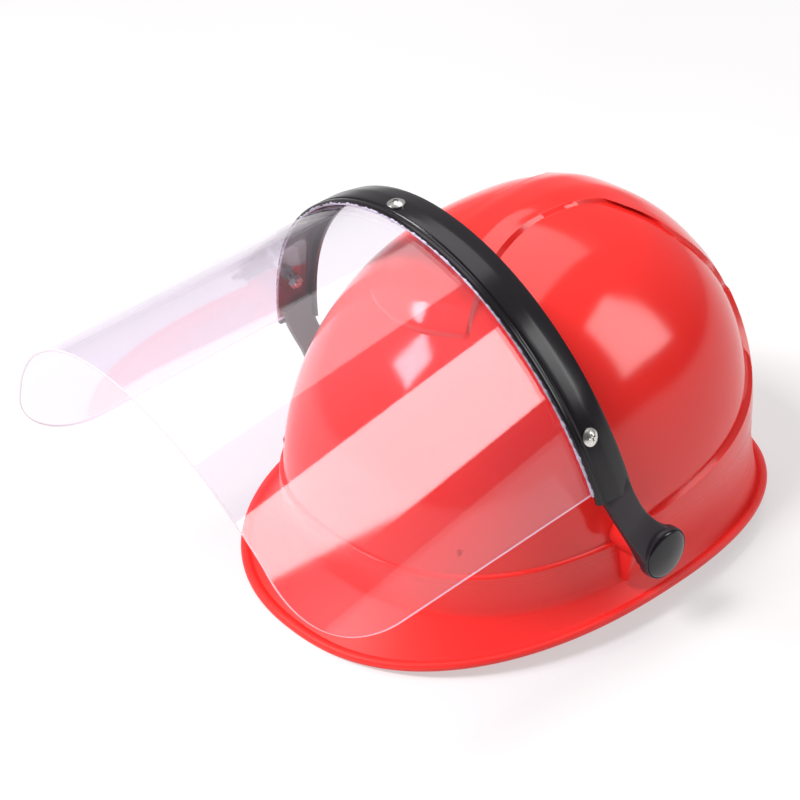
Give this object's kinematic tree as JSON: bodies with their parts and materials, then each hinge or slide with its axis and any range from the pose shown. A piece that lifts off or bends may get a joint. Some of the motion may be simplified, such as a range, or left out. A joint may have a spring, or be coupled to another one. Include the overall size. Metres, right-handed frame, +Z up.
{
  "type": "firefighter helmet",
  "caption": "Brimmed fire helmet with a moulded dome and crest, a clear visor on a hinged black arch, and a ratchet head harness with crown and chin straps.",
  "frame": {"origin": "centre of the brim, in the plane that the helmet rests on", "axes": "+Z up through the crown, -Y towards the front of the helmet, +X towards the wearer's left"},
  "size_m": [0.2572, 0.3671, 0.201],
  "materials": {
    "shell_red": "gloss, moulded",
    "frame_black": "gloss, moulded",
    "visor_clear": "clear polycarbonate",
    "screw_steel": "nickel plated",
    "nut_steel": "zinc plated",
    "cap_black": "satin",
    "band_plastic": "satin",
    "sweat_foam": "knit over foam",
    "ratchet_plastic": "fine texture",
    "pinion_plastic": "natural acetal",
    "clip_plastic": "natural nylon",
    "crown_webbing": "woven polyester",
    "chin_webbing": "woven polyester",
    "buckle_plastic": "satin"
  },
  "bodies": {
    "helmet": {"shell": "shell_red", "pivot_bolt_left": "screw_steel", "pivot_bolt_right": "screw_steel", "pivot_washer_left": "nut_steel", "pivot_washer_right": "nut_steel", "pivot_nut_left": "nut_steel", "pivot_nut_right": "nut_steel", "headband": "band_plastic", "sweatband": "sweat_foam", "ratchet_housing": "ratchet_plastic", "ratchet_backplate": "ratchet_plastic", "nape_pad": "sweat_foam", "clip_front_left": "clip_plastic", "clip_front_right": "clip_plastic", "clip_rear_left": "clip_plastic", "clip_rear_right": "clip_plastic", "crown_strap_lower": "crown_webbing", "crown_strap_upper": "crown_webbing", "chin_strap_left": "chin_webbing", "chin_strap_right": "chin_webbing", "chin_rivet_left": "nut_steel", "chin_rivet_right": "nut_steel", "buckle_socket": "buckle_plastic", "buckle_plug": "buckle_plastic", "strap_slider": "buckle_plastic"},
    "visor_unit": {"visor_frame": "frame_black", "visor": "visor_clear", "visor_screws": "screw_steel", "visor_nuts": "nut_steel", "pivot_cap_left": "cap_black", "pivot_cap_right": "cap_black"},
    "knob_unit": {"ratchet_knob": "ratchet_plastic", "ratchet_pinion": "pinion_plastic"},
    "nape_left": {"nape_strap_left": "band_plastic"},
    "nape_right": {"nape_strap_right": "band_plastic"}
  },
  "joints": [
    {"name": "visor_hinge", "type": "hinge", "parent": "helmet", "child": "visor_unit", "pos_m": [0, -0.017, 0.046], "axis": [1, 0, 0], "range_deg": [-12, 80]},
    {"name": "knob_turn", "type": "hinge", "parent": "helmet", "child": "knob_unit", "pos_m": [0, 0.1033, 0.031], "axis": [0, 1, 0], "range_deg": [-109, 109]},
    {"name": "nape_left_slide", "type": "slide", "parent": "helmet", "child": "nape_left", "axis": [1, 0, 0], "range_m": [-0.0096, 0.0096]},
    {"name": "nape_right_slide", "type": "slide", "parent": "helmet", "child": "nape_right", "axis": [-1, 0, 0], "range_m": [-0.0096, 0.0096]}
  ],
  "couplings": [
    {"joint": "nape_left_slide", "follows": "knob_turn", "m_per_rad": 0.005},
    {"joint": "nape_right_slide", "follows": "knob_turn", "m_per_rad": 0.005}
  ]
}
